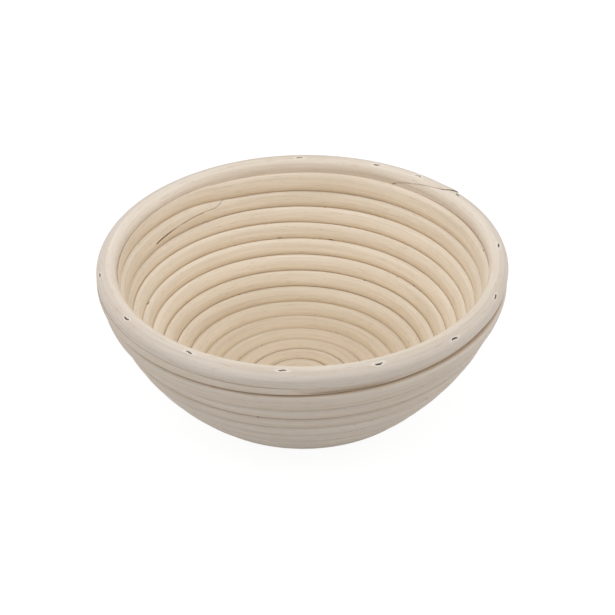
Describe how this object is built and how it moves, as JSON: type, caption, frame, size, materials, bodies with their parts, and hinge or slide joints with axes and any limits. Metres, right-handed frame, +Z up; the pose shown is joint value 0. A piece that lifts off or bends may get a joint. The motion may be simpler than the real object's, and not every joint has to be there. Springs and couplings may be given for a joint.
{
  "type": "round rattan proofing basket",
  "caption": "Round bowl-shaped bread proofing basket of coiled rattan cane, stapled turn to turn and closed by a thicker rim cane.",
  "frame": {"origin": "on the resting surface, under the middle of the bowl", "axes": "+Z up out of the bowl, -Y towards the front, +X to the right"},
  "size_m": [0.2182, 0.2182, 0.0899],
  "materials": {
    "wall_cane": "peeled rattan, matt, with fine lengthwise fibres",
    "rim_cane": "peeled rattan, matt, paler and greyer than the inside",
    "staple_wire": "dull steel wire, sunk in the cane"
  },
  "bodies": {
    "root": {"base_cane": "wall_cane", "last_turn_cane": "wall_cane", "rim_cane": "rim_cane", "rim_staple_01": "staple_wire", "rim_staple_02": "staple_wire", "rim_staple_03": "staple_wire", "rim_staple_04": "staple_wire", "rim_staple_05": "staple_wire", "rim_staple_06": "staple_wire", "rim_staple_07": "staple_wire", "rim_staple_08": "staple_wire", "rim_staple_09": "staple_wire", "rim_staple_10": "staple_wire", "rim_staple_11": "staple_wire", "rim_staple_12": "staple_wire", "rim_staple_13": "staple_wire", "rim_staple_14": "staple_wire", "rim_staple_15": "staple_wire", "wall_cane": "wall_cane", "wall_staple_01": "staple_wire", "wall_staple_02": "staple_wire", "wall_staple_03": "staple_wire", "wall_staple_04": "staple_wire", "wall_staple_05": "staple_wire", "wall_staple_06": "staple_wire", "wall_staple_07": "staple_wire", "wall_staple_08": "staple_wire", "wall_staple_09": "staple_wire", "wall_staple_10": "staple_wire", "wall_staple_11": "staple_wire", "wall_staple_12": "staple_wire", "wall_staple_13": "staple_wire", "wall_staple_14": "staple_wire", "wall_staple_15": "staple_wire", "wall_staple_16": "staple_wire", "wall_staple_17": "staple_wire", "wall_staple_18": "staple_wire", "wall_staple_19": "staple_wire", "wall_staple_20": "staple_wire", "wall_staple_21": "staple_wire", "wall_staple_22": "staple_wire", "wall_staple_23": "staple_wire", "wall_staple_24": "staple_wire", "wall_staple_25": "staple_wire", "wall_staple_26": "staple_wire", "wall_staple_27": "staple_wire", "wall_staple_28": "staple_wire", "wall_staple_29": "staple_wire", "wall_staple_30": "staple_wire", "wall_staple_31": "staple_wire", "wall_staple_32": "staple_wire", "wall_staple_33": "staple_wire"}
  },
  "joints": []
}
